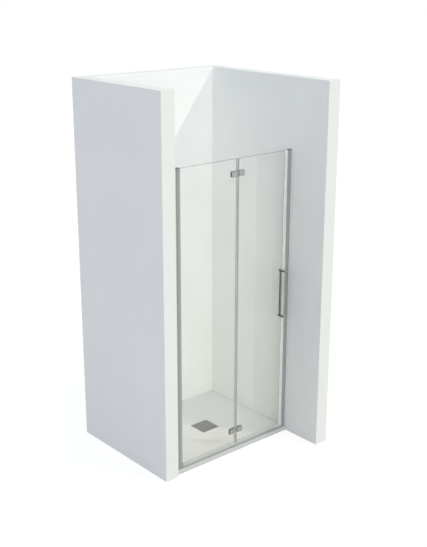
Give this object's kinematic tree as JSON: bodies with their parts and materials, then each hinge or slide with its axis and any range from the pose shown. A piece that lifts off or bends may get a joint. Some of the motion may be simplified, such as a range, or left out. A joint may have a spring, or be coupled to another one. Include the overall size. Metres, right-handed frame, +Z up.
{
  "type": "alcove shower enclosure",
  "caption": "Alcove shower enclosure: plain side and back walls, a low tray with a square drain cover, and a clear glass door that pivots at one wall and folds at its middle.",
  "frame": {"origin": "on the floor, under the middle of the outer box of the walls", "axes": "+Z up; -Y out of the doorway, towards the room; -X towards the wall that carries the door's pivots"},
  "size_m": [1.2, 1.2, 2.5],
  "materials": {
    "plaster": "fine matt plaster",
    "tray_resin": "matt mineral resin",
    "aluminium": "satin anodised",
    "steel": "satin",
    "dark_steel": "black oxide",
    "cover_steel": "fine blasted",
    "clear_glass": "gloss",
    "clear_seal": "translucent satin",
    "grey_seal": "matte",
    "plastic": "matte"
  },
  "bodies": {
    "enclosure": {"left_wall": "plaster", "right_wall": "plaster", "back_wall": "plaster", "shower_tray": "tray_resin", "waste_gasket": "grey_seal", "waste_flange": "steel", "hair_strainer": "steel", "threshold_strip": "aluminium", "hinge_wall_channel": "aluminium", "strike_wall_channel": "aluminium", "hinge_jamb": "aluminium", "strike_jamb": "aluminium", "upper_pivot_plate": "aluminium", "strike_top_cap": "aluminium", "lower_pivot_block": "aluminium", "lower_pivot_pin": "steel", "upper_pivot_pin": "steel", "hinge_bulb_seal": "grey_seal", "strike_magnet_seal": "clear_seal", "hinge_wall_screw_1": "steel", "hinge_wall_screw_2": "steel", "strike_wall_screw_1": "steel", "strike_wall_screw_2": "steel", "hinge_jamb_screw_1": "steel", "hinge_jamb_screw_2": "steel", "strike_jamb_screw_1": "steel", "strike_jamb_screw_2": "steel"},
    "left_leaf": {"leaf_hinge_profile": "aluminium", "glazing_gasket": "grey_seal", "left_glass": "clear_glass", "left_bottom_seal": "clear_seal", "left_fold_seal": "clear_seal", "lower_pivot_bush": "plastic", "upper_pivot_bush": "plastic", "upper_clamp_screw": "dark_steel", "lower_clamp_screw": "dark_steel", "upper_hinge_left_outer_plate": "steel", "upper_hinge_left_inner_plate": "steel", "upper_hinge_left_screw": "steel", "upper_hinge_pin": "steel", "lower_hinge_left_outer_plate": "steel", "lower_hinge_left_inner_plate": "steel", "lower_hinge_left_screw": "steel", "lower_hinge_pin": "steel"},
    "right_leaf": {"right_glass": "clear_glass", "right_bottom_seal": "clear_seal", "right_fold_seal": "clear_seal", "leaf_magnet_seal": "clear_seal", "loop_handle": "steel", "upper_handle_screw": "steel", "lower_handle_screw": "steel", "upper_hinge_right_outer_plate": "steel", "upper_hinge_right_inner_plate": "steel", "upper_hinge_right_screw": "steel", "lower_hinge_right_outer_plate": "steel", "lower_hinge_right_inner_plate": "steel", "lower_hinge_right_screw": "steel"},
    "cover": {"drain_cover": "cover_steel"}
  },
  "joints": [
    {"name": "wall_pivot", "type": "hinge", "parent": "enclosure", "child": "left_leaf", "pos_m": [-0.4555, -0.279, 0.0521], "axis": [0, 0, -1], "range_deg": [0, 90]},
    {"name": "leaf_fold", "type": "hinge", "parent": "left_leaf", "child": "right_leaf", "pos_m": [0.032, -0.268, 0.0521], "axis": [0, 0, 1], "range_deg": [0, 180]},
    {"name": "cover_lift", "type": "slide", "parent": "enclosure", "child": "cover", "axis": [0, 0, 1], "range_m": [0, 0.04]}
  ]
}
